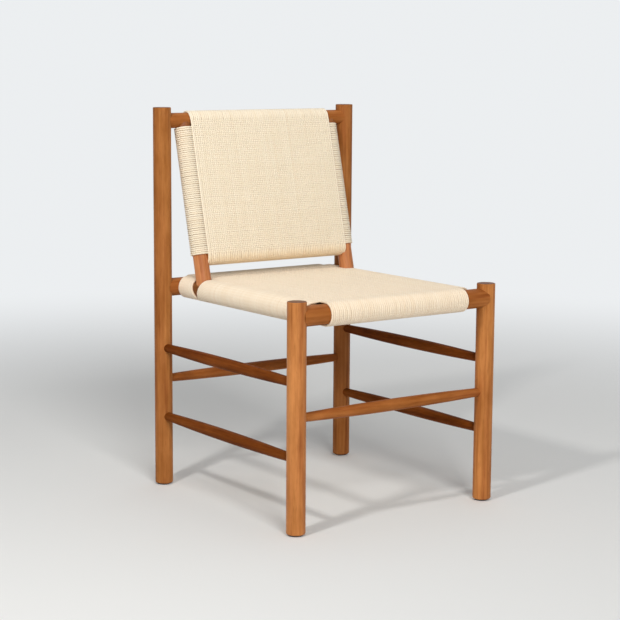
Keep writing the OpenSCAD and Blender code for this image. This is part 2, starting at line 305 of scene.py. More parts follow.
def wound_cords(name, path, outward, half_w, half_t, tone, closed=True, sides=6):
    """Cords as one mesh of swept tubes.

    Each cord is a ring of ellipses carried along its path: vertex (cord, step, side) lies at
    path + half_w cos(a) across + half_t sin(a) / cos(pi / sides) outward, with
    a = 2 pi side / sides and across at right angles to the path and to outward. A closed cord's
    last step joins its first, and an open one is capped at both ends.
    path and outward are arrays (cords, steps, 3), half_w, half_t and tone (cords, steps).
    """
    loops, steps, _ = path.shape
    ahead = np.roll(path, -1, axis=1) - np.roll(path, 1, axis=1)
    if not closed:
        ahead[:, 0] = path[:, 1] - path[:, 0]
        ahead[:, -1] = path[:, -1] - path[:, -2]
    across = np.cross(ahead, outward)
    across /= np.linalg.norm(across, axis=2, keepdims=True)
    angle = 2 * math.pi * np.arange(sides) / sides
    wide = half_w[:, :, None] * np.cos(angle)
    tall = half_t[:, :, None] * (np.sin(angle) / math.cos(math.pi / sides))
    co = (
        path[:, :, None, :]
        + wide[..., None] * across[:, :, None, :]
        + tall[..., None] * outward[:, :, None, :]
    )
    spans = steps if closed else steps - 1
    loop, step, side = np.meshgrid(
        np.arange(loops), np.arange(spans), np.arange(sides), indexing="ij"
    )
    nxt, turn = (step + 1) % steps, (side + 1) % sides

    def at(k, s):
        """Each cord's vertex at step k and side s."""
        return (loop * steps + k) * sides + s

    # across x outward points back along the path, so this order faces outwards
    quads = np.stack([at(nxt, side), at(nxt, turn), at(step, turn), at(step, side)], axis=-1)
    length = np.linalg.norm(np.roll(path, -1, axis=1) - path, axis=2)
    run = np.concatenate([np.zeros((loops, 1)), np.cumsum(length, axis=1)], axis=1)
    u0, u1 = run[loop, step], run[loop, step + 1]
    v0, v1 = side / sides, (side + 1) / sides
    u, v = np.stack([u1, u1, u0, u0], axis=-1), np.stack([v0, v1, v1, v0], axis=-1)
    uv = np.stack([u, v], axis=-1).reshape(-1, 2)

    corners, total = quads.ravel(), np.full(side.size, 4)
    if not closed:
        first = np.arange(loops)[:, None] * steps * sides + np.arange(sides)
        last = first[:, ::-1] + (steps - 1) * sides
        caps = np.stack([first, last], axis=1).reshape(-1, sides)
        corners = np.concatenate([corners, caps.ravel()])
        total = np.concatenate([total, np.full(len(caps), sides)])
        uv = np.concatenate([uv, np.zeros((caps.size, 2))])
    starts = np.cumsum(total) - total

    mesh = bpy.data.meshes.new(name)
    mesh.vertices.add(loops * steps * sides)
    mesh.vertices.foreach_set("co", co.astype(np.float32).ravel())
    mesh.loops.add(len(corners))
    mesh.loops.foreach_set("vertex_index", corners.astype(np.int32))
    mesh.polygons.add(len(total))
    mesh.polygons.foreach_set("loop_start", starts.astype(np.int32))
    mesh.polygons.foreach_set("loop_total", total.astype(np.int32))
    mesh.polygons.foreach_set("use_smooth", np.ones(len(total), bool))
    mesh.uv_layers.new(name="cord").uv.foreach_set("vector", uv.astype(np.float32).ravel())
    shade = mesh.attributes.new("tone", "FLOAT", "POINT")
    shade.data.foreach_set("value", np.repeat(tone.ravel(), sides).astype(np.float32))
    mesh.update(calc_edges=True)
    piece = bpy.data.objects.new(name, mesh)
    bpy.context.scene.collection.objects.link(piece)
    return piece


def smooth(x):
    """Eases from 0 to 1 as 3 x^2 - 2 x^3, flat outside."""
    x = np.clip(x, 0.0, 1.0)
    return x * x * (3 - 2 * x)


def part_way(share, first, second):
    """first where share is 0 and second where it is 1, in a straight line."""
    return first + (second - first) * share


def rows_between(first, last, pitch):
    """Evenly spaced places from first to last, as near to pitch apart as fits an even count."""
    count = 2 * round((last - first) / pitch / 2 + 0.5)
    return np.linspace(first, last, count)


def pitch_of(places):
    """Distance between neighbours of evenly spaced places."""
    return (places[-1] - places[0]) / (len(places) - 1)


def warp_places(w, short_of_axis):
    """Places of the warp cords along X, and the middles of their pairs.

    The middles are evenly spaced, and the two cords of a pair stand half of closer times the
    spacing to either side.
    """
    closer = 0.985
    edge = STILE_X - short_of_axis - w.cord_d / 2
    middle = rows_between(-edge, edge, w.warp_pitch).reshape(-1, 2).mean(axis=1)
    half = closer * w.warp_pitch / 2
    return np.stack([middle - half, middle + half], axis=1).ravel(), middle


def alternating(count, before=0):
    """1, -1, 1 ... as a column for count cords, of which before come earlier."""
    return (1.0 - 2.0 * ((before + np.arange(count)) % 2))[:, None]


def swing(x, places):
    """1, -1, 1 ... at evenly spaced places, as a cosine between them and 0 away from them."""
    pitch = pitch_of(places)
    inside = 1 - smooth(np.maximum(places[0] - x, x - places[-1]) / pitch)
    return np.cos(math.pi * (x - places[0]) / pitch) * inside


def racetrack(flat, roll):
    """Corner parameters of a loop round two bars, as arrays over its steps.

    flat holds the places along the upper run, between the bars' axes at flat[0] and flat[-1],
    and roll is how many steps lie on the far side of each bar.
    Returns along, turn and straight: the place along the span, the angle of the outward
    direction above the span in radians, and True on the two runs, False on the rolls.
    """
    angle = np.linspace(QUARTER, -QUARTER, roll + 2)[1:-1]
    up, down = np.full(len(flat), QUARTER), np.full(len(flat), -QUARTER)
    along = np.concatenate([flat, np.full(roll, flat[-1]), flat[::-1], np.full(roll, flat[0])])
    turn = np.concatenate([up, angle, down, angle - math.pi])
    straight = np.repeat([True, False, True, False], [len(flat), roll, len(flat), roll])
    return along, turn, straight


def cord_tone(rng, loops, steps):
    """A slightly different tone for each cord that also drifts along it, 0 in the middle.

    It is 0.6 n + 0.4 sin(phase + 2 pi waves t), with n, phase and waves drawn for each cord
    and t from 0 to 1 along it.
    """
    own = rng.normal(0.0, 1.0, (loops, 1))
    phase = rng.uniform(0, 2 * math.pi, (loops, 1))
    waves = rng.integers(1, 4, (loops, 1))
    drift = np.sin(phase + np.linspace(0, 2 * math.pi, steps)[None, :] * waves)
    return 0.6 * own + 0.4 * drift


def warp_loops(w, places, bar_low, bar_high, rows, rng, edge_over=False):
    """Loops round two bars that run along X, woven with rows of weft between them.

    bar_low and bar_high are (place along the span, radius). In the plane across the bars a loop
    is a racetrack at the bars' radii plus half a cord. Between the rows it swings by the warp's
    crimp, pairs of neighbours together, and is pressed flat. With edge_over the outermost cord
    on each side lies over every row.
    Returns arrays over (loops, steps): x, along, up, turn, half width, half thickness.
    """
    a0, r0 = bar_low
    a1, r1 = bar_high
    pitch = pitch_of(rows)
    run_in, fading = 4, 1.5 * pitch
    woven = np.linspace(rows[0] - pitch / 2, rows[-1] + pitch / 2, len(rows) * w.warp_steps + 1)
    flat = np.concatenate(
        [np.linspace(a0, woven[0], run_in)[:-1], woven, np.linspace(woven[-1], a1, run_in)[1:]]
    )
    along, turn, straight = racetrack(flat, WARP_ROLL_STEPS)
    past = np.maximum(rows[0] - along, along - rows[-1])
    pressed = straight * (1 - smooth(past / fading))
    reach = part_way((along - a0) / (a1 - a0), r0, r1) + w.cord_d / 2 + pressed * CLEAR
    ends = smooth((along - a0) / pitch) * smooth((a1 - along) / pitch)
    wave = straight * swing(along, rows) * w.warp_crimp * ends
    out = reach - np.repeat(alternating(len(places) // 2), 2, axis=0) * wave
    if edge_over:
        out[[0, -1]] = reach + pressed * w.warp_crimp * ends
    x = places[:, None] + rng.normal(0, w.unevenness, (len(places), 1))
    place, up = along + out * np.cos(turn), out * np.sin(turn)
    half_w = w.warp_pitch * part_way(pressed, *WARP_WIDTH)
    half_t = part_way(pressed, w.cord_d / 2, w.flat_t / 2)
    return np.broadcast_arrays(x, place, up, turn, half_w, half_t)


def weft_wave(w, x, pairs, sign, edge_over):
    """How far weft cords stand out at x: sign sin(pi / 2 swing) over and under each pair.

    With edge_over they dip under the outermost cord on each side.
    """
    out = sign * np.sin(QUARTER * swing(x, pairs))
    if edge_over:
        pitch = pitch_of(pairs)
        dip, rise = 0.25 * pitch, 0.6 * pitch
        past = np.abs(x) - pairs[-1]
        under, near = smooth(past / dip), 1 - smooth((past - dip) / rise)
        out = out * (1 - under) - under * near
    return out * w.weft_crimp


def weft_loops(w, rows, bar_r, pairs, level, rng, edge_over=False):
    """Loops round two bars that stand at x = -STILE_X and +STILE_X, woven through pairs of warp.

    In the plane across the bars a loop is a racetrack at bar_r plus half a cord on the rolls
    and at level(row) between them, where weft_wave says how it crosses the pairs.
    Returns arrays over (loops, steps): x, row, up, turn, half width, half thickness.
    """
    pitch = pitch_of(pairs)
    step = pitch / w.weft_steps
    woven = np.arange(pairs[0] - pitch / 2 + step / 2, pairs[-1] + pitch / 2, step)
    # Seven more steps to each bar, closer together towards it
    beside = (STILE_X - woven[-1]) * np.linspace(0, 1, 8)[1:] ** 0.8
    flat = np.concatenate([(woven[0] - beside)[::-1], woven, woven[-1] + beside])
    along, turn, straight = racetrack(flat, WEFT_ROLL_STEPS)
    pressed = straight * smooth((STILE_X - np.abs(along)) / (STILE_X - woven[-1]))
    wave = straight * weft_wave(w, along, pairs, alternating(len(rows)), edge_over)
    out = part_way(pressed, bar_r + w.cord_d / 2, level(rows)[:, None]) + wave
    row = rows[:, None] + rng.normal(0, w.unevenness, (len(rows), 1))
    x, up = along + out * np.cos(turn), out * np.sin(turn)
    half_w = w.weft_pitch * part_way(pressed, *WEFT_WIDTH)
    half_t = part_way(pressed, w.cord_d / 2, w.flat_t / 2)
    return np.broadcast_arrays(x, row, up, turn, half_w, half_t)


def short_rows(w, rows, before, warp, pairs, level, rng):
    """Cords that cross one face of the warp and end behind its outermost cords.

    They carry on the rows of weft_loops, before of which come first, in front of a bar that
    leaves no way round, and end under the outermost cord on each side. Returns arrays over
    (2 rows, steps) with the front face's first: x, row, up, half width, half thickness.
    """
    steps = 1 + round((warp[-1] - warp[0]) / pitch_of(pairs) * w.weft_steps)
    x = np.linspace(warp[0], warp[-1], steps)
    out = level(rows)[:, None] + weft_wave(w, x, pairs, alternating(len(rows), before), True)
    out = np.concatenate([out, -out])
    row = np.concatenate([rows, rows])[:, None] + rng.normal(0, w.unevenness, (2 * len(rows), 1))
    return np.broadcast_arrays(x, row, out, w.weft_pitch * WEFT_WIDTH[1], w.flat_t / 2)


def round_the_stile(w, x, row, up):
    """Where seat cords go round the stiles' feet.

    A cord whose row is u from the stile's middle is moved along Y to g + u (h - g) / h, where h
    is how far the crowding reaches and g is half the gap: the stile's own outline on top of the
    side rail, and the crescent between two arcs of radius opening_r down its outer side.
    Returns the new rows and how much closer than usual the cords lie.
    """
    crowding = 0.05
    top = SIDE_RAIL_R + w.cord_d
    middle = STILE_FOOT_Y + top * math.tan(LEAN)
    half = STILE_R / math.cos(LEAN) + w.cord_d / 2
    keep = STILE_R + w.cord_d / 2
    inner = half * np.sqrt(np.clip(1 - ((STILE_X - np.abs(x)) / keep) ** 2, 0, 1))

    # The arc goes through the gap's edge (half, top) and the crescent's tip (0, -top)
    chord = math.hypot(half, 2 * top)
    reach = math.sqrt(w.opening_r**2 - (chord / 2) ** 2) / chord
    centre, height = half / 2 - reach * 2 * top, reach * half
    arc = centre + np.sqrt(np.clip(w.opening_r**2 - (up - height) ** 2, 0, None))
    outer = np.clip(arc, 0, half)

    # Steps right on the rail's axis belong to the run, whichever way their x is rounded
    hair = 1e-6
    gap = np.where(np.abs(x) > STILE_X + hair, outer, np.where(up > 0, inner, 0.0))
    u = row - middle
    near = np.abs(u) < crowding
    moved = middle + np.sign(u) * part_way(np.abs(u) / crowding, gap, crowding)
    return np.where(near, moved, row), gap / half * near


def close_up(y, up, first, last, cord_d):
    """Moves rows beside a rail towards it where it curves away from them, by up to a cord.

    The move is cord_d (|up| / top)^3 exp(-distance from the first or last row / fading), with
    top the height of the sleeve above its rail's axis.
    """
    fading, top = 0.005, SIDE_RAIL_R + cord_d
    away = np.clip(np.abs(up) / top, 0, 1) ** 3 * cord_d
    return y - away * np.exp(-(y - first) / fading) + away * np.exp(-(last - y) / fading)


# Shader nodes


def feed(tree, target, value):
    """Links an input to the output that value is, or sets it, a colour without its alpha."""
    if isinstance(value, bpy.types.NodeSocket):
        tree.links.new(value, target)
    elif target.type == "RGBA":
        target.default_value = (*value, 1)
    else:
        target.default_value = value


def give(tree, to, **values):
    """Sets a node's settings and feeds its inputs, named with _ for a space."""
    for key, value in values.items():
        if hasattr(to, key):
            setattr(to, key, value)
        else:
            feed(tree, to.inputs[key.replace("_", " ")], value)


def add(tree, kind, **values):
    """A new shader node with its settings and inputs, as give takes them."""
    made = tree.nodes.new("ShaderNode" + kind)
    give(tree, made, **values)
    return made


def maths(tree, operation, *values, clamp=False):
    """The result of a Math node on values."""
    made = add(tree, "Math", operation=operation, use_clamp=clamp)
    for target, value in zip(made.inputs, values):
        feed(tree, target, value)
    return made.outputs[0]


def between(tree, value, low, high, how="LINEAR"):
    """0 where value is at or short of low, 1 where it is at or past high."""
    made = add(
        tree, "MapRange", interpolation_type=how, Value=value, From_Min=low, From_Max=high
    )
    return made.outputs["Result"]


def mix(tree, share, first, second, how="MIX"):
    """first where share is 0 and second, or the two blended, where it is 1."""
    made = add(tree, "Mix", data_type="RGBA", blend_type=how, Factor=share)
    feed(tree, made.inputs[6], first)
    feed(tree, made.inputs[7], second)
    return made.outputs[2]


def times(tree, colour, tone, share):
    """colour multiplied by share of tone."""
    return mix(tree, share, colour, tone, "MULTIPLY")


def mix_shaders(tree, share, first, second):
    """The first node's shader where share is 0 and the second node's where it is 1."""
    made = add(tree, "MixShader")
    for target, value in zip(made.inputs, (share, first.outputs[0], second.outputs[0])):
        feed(tree, target, value)
    return made.outputs[0]


def new_group(title, inputs, outputs):
    """An empty node group and its inner ends. inputs and outputs give each socket's kind."""
    made = bpy.data.node_groups.new(title, "ShaderNodeTree")
    for way, sockets in (("INPUT", inputs), ("OUTPUT", outputs)):
        for name, kind in sockets.items():
            made.interface.new_socket(name=name, in_out=way, socket_type="NodeSocket" + kind)
    enter, leave = made.nodes.new("NodeGroupInput"), made.nodes.new("NodeGroupOutput")
    return made, enter.outputs, leave.inputs


# Effects that several materials share


def wood_grain():
    """Node group: straight-grained wood whose fibres run along one axis of the object.

    Turn brings that axis onto Z, and Shift moves the pattern, which picks the board that a
    member was turned from. Growth bands are a distorted sine across the grain, fibres a noise
    drawn out along it, pores a finer, thresholded one, and a slow noise makes paler and deeper
    patches. Two more drawn-out noises lay darker, redder strips over them. Where the normal
    points along the grain, the end is sawn and darker. Puts out Color, Roughness and Height.
    """
    title = "Wood grain"
    found = bpy.data.node_groups.get(title)
    if found:
        return found
    g, enter, leave = new_group(
        title,
        {"Turn": "Vector", "Shift": "Vector", "Pale": "Color", "Deep": "Color"},
        {"Color": "Color", "Roughness": "Float", "Height": "Float"},
    )
    turn = enter["Turn"]
    place = add(g, "TexCoord").outputs
    along = add(g, "Mapping", Vector=place["Object"], Rotation=turn, Location=enter["Shift"])

    def drawn_out(kind, z, **values):
        """A pattern that is 1 / z times as long, along the grain, as it is wide."""
        stretched = add(g, "Mapping", Vector=along.outputs["Vector"], Scale=(1, 1, z))
        return add(g, kind, Vector=stretched.outputs["Vector"], **values).outputs["Fac"]

    bands = drawn_out("TexWave", 0.06, Scale=34.0, Distortion=7.0, Detail=2.0, Detail_Scale=0.7)
    fibres = drawn_out("TexNoise", 0.04, Scale=210.0, Detail=5.0, Roughness=0.65)
    pores = drawn_out("TexNoise", 0.05, Scale=900.0, Detail=2.0, Roughness=0.5)
    cloud = drawn_out("TexNoise", 0.35, Scale=30.0, Detail=3.0, Roughness=0.6)
    spread = between(g, fibres, 0.36, 0.64)
    pits = between(g, pores, 0.6, 0.72)
    patches = between(g, cloud, 0.34, 0.66)

    mask = maths(g, "MULTIPLY_ADD", spread, 0.3, maths(g, "MULTIPLY", bands, 0.16))
    mask = maths(g, "MULTIPLY_ADD", patches, 0.5, mask)
    colour = mix(g, mask, enter["Pale"], enter["Deep"])
    colour = times(g, colour, (0.55, 0.5, 0.48), maths(g, "MULTIPLY", pits, 0.55))
    for scale, z, low, high, tone in (
        (40.0, 0.08, 0.42, 0.66, (0.86, 0.79, 0.76)),
        (130.0, 0.05, 0.52, 0.68, (0.82, 0.73, 0.68)),
    ):
        strip = drawn_out("TexNoise", z, Scale=scale, Detail=1.0, Roughness=0.5)
        colour = times(g, colour, tone, between(g, strip, low, high))

    facing = add(g, "Mapping", vector_type="NORMAL", Vector=place["Normal"], Rotation=turn)
    upright = add(g, "SeparateXYZ", Vector=facing.outputs["Vector"]).outputs["Z"]
    sawn = between(g, maths(g, "ABSOLUTE", upright), 0.75, 0.97)
    feed(g, leave["Color"], times(g, colour, (0.33, 0.27, 0.23), sawn))
    rough = add(g, "MapRange", Value=mask, To_Min=0.36, To_Max=0.52)
    feed(g, leave["Roughness"], rough.outputs["Result"])
    feed(g, leave["Height"], maths(g, "SUBTRACT", maths(g, "MULTIPLY", spread, 0.5), pits))
    return g


def twisted_cord():
    """Node group: strands of paper twisted into a cord.

    The stripe is sin(2 pi (strands v + u / lay)), with u the length along the cord and v once
    round it, so the strands climb round the cord, and the deep colour in the grooves between
    them is painted shade. Each cord has its own tone, and fine specks.
    The flanks, where cos(4 pi v) nears 1 and a cord lies against its neighbour, are darkened
    with painted shade.
    Puts out Color and Height.
    """
    title = "Twisted cord"
    strands, lay = 3, 0.006
    found = bpy.data.node_groups.get(title)
    if found:
        return found
    g, enter, leave = new_group(
        title, {"Pale": "Color", "Deep": "Color"}, {"Color": "Color", "Height": "Float"}
    )
    uv = add(g, "UVMap", uv_map="cord").outputs["UV"]
    u, v, _ = add(g, "SeparateXYZ", Vector=uv).outputs
    climb = maths(g, "MULTIPLY", u, 2 * math.pi / lay)
    stripe = maths(g, "SINE", maths(g, "MULTIPLY_ADD", v, 2 * math.pi * strands, climb))
    lift = between(g, stripe, -1.0, 1.0)

    tone = add(g, "Attribute", attribute_name="tone").outputs["Fac"]
    place = add(g, "TexCoord").outputs["Object"]
    specks = add(g, "TexNoise", Vector=place, Scale=420.0, Detail=3.0, Roughness=0.6)
    # Painted shade: the grooves between strands take the deep colour; tone and specks vary it.
    share = maths(g, "MULTIPLY_ADD", lift, -0.36, 0.37)
    share = maths(g, "MULTIPLY_ADD", tone, 0.1, share)
    share = maths(g, "MULTIPLY_ADD", specks.outputs["Fac"], 0.22, share, clamp=True)
    colour = mix(g, share, enter["Pale"], enter["Deep"])

    # Painted shade on the flanks, where neighbouring cords touch.
    painted_flank_shade = between(g, maths(g, "COSINE", maths(g, "MULTIPLY", v, 4 * math.pi)), 0.3, 1.0)
    feed(g, leave["Color"], times(g, colour, (0.9, 0.86, 0.81), painted_flank_shade))
    feed(g, leave["Height"], lift)
    return g


def tone_by_height():
    """Node group: multiplies Color by more and more of Tone from height Start to height Full."""
    title = "Tone by height"
    found = bpy.data.node_groups.get(title)
    if found:
        return found
    g, enter, leave = new_group(
        title,
        {"Color": "Color", "Tone": "Color", "Start": "Float", "Full": "Float"},
        {"Color": "Color"},
    )
    place = add(g, "TexCoord").outputs["Object"]
    height = add(g, "SeparateXYZ", Vector=place).outputs["Z"]
    share = between(g, height, enter["Start"], enter["Full"], "SMOOTHSTEP")
    feed(g, leave["Color"], times(g, enter["Color"], enter["Tone"], share))
    return g


# Materials


def new_material(name):
    """A new material, its node tree and its Principled shader."""
    m = bpy.data.materials.new(name)
    m.use_nodes = True
    return m, m.node_tree, m.node_tree.nodes["Principled BSDF"]


def toned(tree, colour, tone, start, full):
    """colour through the group that tones it by height."""
    made = add(tree, "Group", node_tree=tone_by_height(), Color=colour, Tone=tone)
    give(tree, made, Start=start, Full=full)
    return made.outputs["Color"]


def cord_material(where):
    """Cream twisted paper cord, matt, with a slightly waxy sheen.

    The seat's is a little pinker, and the back's is warmer where it rolls round the low rail, a
    painted warm bounce light from the seat.
    """
    title = "Paper cord, " + where
    found = bpy.data.materials.get(title)
    if found:
        return found
    look = bpy.context.scene.chair_finish
    m, t, skin = new_material(title)
    tint = look.seat_tint if where == "seat_weave" else (1, 1, 1)
    pale, deep = np.multiply(tint, look.cord_pale), np.multiply(tint, look.cord_deep)
    cord = add(t, "Group", node_tree=twisted_cord(), Pale=pale, Deep=deep).outputs
    colour = cord["Color"]
    if where == "back_weave":
        # Painted light: warm light bounced up from the seat, on the back's bottom roll.
        painted_bounce, top, foot = (1.05, 0.98, 0.88), LOW_RAIL.z + 0.018, LOW_RAIL.z - 0.014
        colour = toned(t, colour, painted_bounce, top, foot)
    bump = add(t, "Bump", Strength=0.7, Distance=0.00035, Height=cord["Height"])
    give(t, skin, Base_Color=colour, Roughness=0.72, Specular_IOR_Level=0.3)
    give(t, skin, Sheen_Weight=0.12, Sheen_Roughness=0.5, Normal=bump.outputs["Normal"])
    return m


def wood_material(name, turn, pale, deep, shift, gloss, corner=None):
    """Oiled wood whose grain runs along Z once Object coordinates are turned by turn.

    shift moves the grain sideways. From the height corner up, the wood is darkened, a painted
    shade where it stands under the top rail.
    """
    m, t, skin = new_material(name)
    grain = add(t, "Group", node_tree=wood_grain(), Turn=turn, Shift=(shift, 0, 0))
    give(t, grain, Pale=pale, Deep=deep)
    colour = grain.outputs["Color"]
    # Painted shade: from corner up the colour darkens, as in the shade under the top rail.
    if corner is not None:
        dust_and_shade, fading = (0.5, 0.45, 0.36), 0.03
        colour = toned(t, colour, dust_and_shade, corner, corner + fading)
    bump = add(t, "Bump", Strength=0.25, Distance=0.0002, Height=grain.outputs["Height"])
    give(t, skin, Base_Color=colour, Roughness=grain.outputs["Roughness"])
    give(t, skin, Specular_IOR_Level=gloss, Normal=bump.outputs["Normal"])
    return m


def finish_nodes(names, material):
    """Gives CAD nodes a material in their own slots."""
    for name in names:
        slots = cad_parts[name].data.materials
        if not slots:
            slots.append(material)
        for k in range(len(slots)):
            slots[k] = material


# Operators


class CHAIR_OT_finish_wood(bpy.types.Operator):
    """Finish the wooden members, with the grain along each one"""

    bl_idname = "chair.finish_wood"
    bl_label = "Wood"

    def execute(self, context):
        look = context.scene.chair_finish
        # Members, material, turn of the grain, tone, shift of the grain, gloss
        groups = (
            (FRONT_LEGS[:1], "Wood, left front leg", (0, 0, 0), 1.07, 0.41, 0.22),
            (FRONT_LEGS[1:], "Wood, right front leg", (0, 0, 0), 1.0, 0.0, 0.12),
            (REAR_POSTS, "Wood, rear posts", (0, 0, 0), look.rear_tone, 0.57, 0.08),
            (STILES, "Wood, stiles", (LEAN, 0, 0), look.stile_tone, 0.0, 0.2),
            (CROSSWISE, "Wood, cross rails", (0, QUARTER, 0), look.cross_tone, 0.29, 0.06),
            # The side rails' darker tone is painted shade, for the openings round the stiles'
            # feet.
            (SIDE_RAILS, "Wood, side rails", (QUARTER, 0, 0), look.side_rail_shade, 0.0, 0.1),
        )
        for names, title, turn, tone, shift, gloss in groups:
            pale, deep = np.multiply(tone, look.wood_pale), np.multiply(tone, look.wood_deep)
            # The stiles' tops are darkened with painted shade, where they stand under the top
            # rail.
            corner = TOP_RAIL.z - 0.06 if names == STILES else None
            finish_nodes(names, wood_material(title, turn, pale, deep, shift, gloss, corner))
        # The side stretchers get a darker, redder wood than the other members.
        reddish = wood_material(
            "Dark stained wood", (QUARTER, 0, 0), look.rung_pale, look.rung_deep, 0.73, 0.02
        )
        finish_nodes(SIDE_STRETCHERS, reddish)
        return {"FINISHED"}


class CHAIR_OT_finish_feet(bpy.types.Operator):
    """Finish the glides and their nails"""

    bl_idname = "chair.finish_feet"
    bl_label = "Feet"

    def execute(self, context):
        look = context.scene.chair_finish
        dust_and_shade = [2.2 * shade for shade in look.glide]
        dark, t, skin = new_material("Glide")
        place = add(t, "TexCoord").outputs["Object"]
        dust = add(t, "TexNoise", Vector=place, Scale=300.0, Detail=3.0).outputs["Fac"]
        give(t, skin, Base_Color=mix(t, dust, look.glide, dust_and_shade), Roughness=0.6)
        finish_nodes(GLIDES, dark)

        steel, t, skin = new_material("Nail")
        place = add(t, "TexCoord").outputs["Object"]
        scratch = add(t, "TexNoise", Vector=place, Scale=900.0, Detail=2.0).outputs["Fac"]
        worn = add(t, "MapRange", Value=scratch, To_Min=0.25, To_Max=0.5).outputs["Result"]
        give(t, skin, Base_Color=look.steel, Roughness=worn, Metallic=1.0)
        finish_nodes(["glide_nails"], steel)
        return {"FINISHED"}


def directions(turn, level, upright):
    """Unit vectors at the angle turn from level towards upright."""
    return np.cos(turn)[..., None] * level + np.sin(turn)[..., None] * upright


def wind(name, parts, path, outward, half_w, half_t, rng, node, closed=True):
    """Makes the cords as several pieces of like size and lets each ride on the frame."""
    tone = cord_tone(rng, *half_w.shape)
    for k, chosen in enumerate(np.array_split(np.arange(len(path)), parts)):
        arrays = [values[chosen] for values in (path, outward, half_w, half_t, tone)]
        piece = wound_cords(f"{name}_{k + 1}", *arrays, closed)
        piece.data.materials.append(cord_material(node))
        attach(piece, "root")
        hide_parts(node)


def seat_plan(w):
    """The seat's cords: warp and pairs along X, weft rows along Y, and level(y).

    level is how far the weave's middle stands above the rails' axes between them.
    """
    warp, pairs = warp_places(w, w.seat_edge)
    gap = 0.2 * w.cord_d
    first, last = FRONT_RAIL.y + FRONT_RAIL_R + gap, REAR_RAIL.y - REAR_RAIL_R - gap

    def level(y):
        t = (y - FRONT_RAIL.y) / (REAR_RAIL.y - FRONT_RAIL.y)
        return part_way(t, FRONT_RAIL_R, REAR_RAIL_R) + w.cord_d / 2 + CLEAR

    rows = rows_between(first, last, w.weft_pitch)
    return SimpleNamespace(warp=warp, pairs=pairs, rows=rows, level=level)


class CHAIR_OT_seat_warp(bpy.types.Operator):
    """Wind the seat's cords that run from front to back"""

    bl_idname = "chair.seat_warp"
    bl_label = "Seat, front to back"

    def execute(self, context):
        w = context.scene.chair_weave
        rng = np.random.default_rng(11)
        plan = seat_plan(w)
        front, rear = (FRONT_RAIL.y, FRONT_RAIL_R), (REAR_RAIL.y, REAR_RAIL_R)
        x, y, up, turn, half_w, half_t = warp_loops(w, plan.warp, front, rear, plan.rows, rng)
        path = np.stack([x, y, FRONT_RAIL.z + up], axis=-1)
        outward = directions(turn, BACKWARDS, UPWARDS)
        wind("seat_warp", 4, path, outward, half_w, half_t, rng, "seat_weave")
        return {"FINISHED"}


class CHAIR_OT_seat_weft(bpy.types.Operator):
    """Wind the seat's cords that run across, round the side rails and the stiles' feet"""

    bl_idname = "chair.seat_weft"
    bl_label = "Seat, across"

    def execute(self, context):
        w = context.scene.chair_weave
        rng = np.random.default_rng(12)
        plan = seat_plan(w)
        x, y, up, turn, half_w, half_t = weft_loops(
            w, plan.rows, SIDE_RAIL_R, plan.pairs, plan.level, rng
        )
        y, crowded = round_the_stile(w, x, y, up)
        y = close_up(y, up, plan.rows[0], plan.rows[-1], w.cord_d)
        path = np.stack([x, y, SIDE_RAIL.z + up], axis=-1)
        outward = directions(turn, ACROSS, UPWARDS)
        # Crowded cords are squeezed narrower, by up to a quarter
        half_w = half_w * (1 - 0.25 * crowded)
        wind("seat_weft", 4, path, outward, half_w, half_t, rng, "seat_weave")
        return {"FINISHED"}


def back_plan(w):
    """The back's cords: warp and pairs along X, and weft rows up the stile from its foot.

    low and high are the two rails' places up the stile, and short the rows beside the top rail
    that have no way round. level(s) is how far the weave's middle stands out.
    """
    warp, pairs = warp_places(w, w.back_edge)
    low = (LOW_RAIL.z - SIDE_RAIL.z) / math.cos(LEAN)
    high = low + BACK_HEIGHT
    above_axis = 0.003
    first, last = low + above_axis + w.cord_d / 2, high - TOP_RAIL_R - w.cord_d / 2
    rows = rows_between(first, last, w.weft_pitch)
    step = pitch_of(rows)
    short = np.arange(rows[-1] + step, high - step / 2, step)

    def level(s):
        return np.full(len(s), LOW_RAIL_R + w.cord_d / 2 + CLEAR)

    return SimpleNamespace(
        warp=warp, pairs=pairs, rows=rows, short=short, low=low, high=high, level=level
    )


def on_the_back(x, s, out):
    """A place on the leaning back: x across, s up the stile from its foot, out ahead of it."""
    foot = np.array([0.0, STILE_FOOT_Y, SIDE_RAIL.z])
    return foot + x[..., None] * ACROSS + s[..., None] * UP_STILE + out[..., None] * AHEAD


class CHAIR_OT_back_warp(bpy.types.Operator):
    """Wind the back's cords that run up and down"""

    bl_idname = "chair.back_warp"
    bl_label = "Back, up and down"

    def execute(self, context):
        w = context.scene.chair_weave
        rng = np.random.default_rng(13)
        plan = back_plan(w)
        rows = np.append(plan.rows, plan.short)
        low, high = (plan.low, LOW_RAIL_R), (plan.high, TOP_RAIL_R)
        x, s, out, turn, half_w, half_t = warp_loops(w, plan.warp, low, high, rows, rng, True)
        path = on_the_back(x, s, out)
        outward = directions(turn, UP_STILE, AHEAD)
        wind("back_warp", 3, path, outward, half_w, half_t, rng, "back_weave")
        return {"FINISHED"}


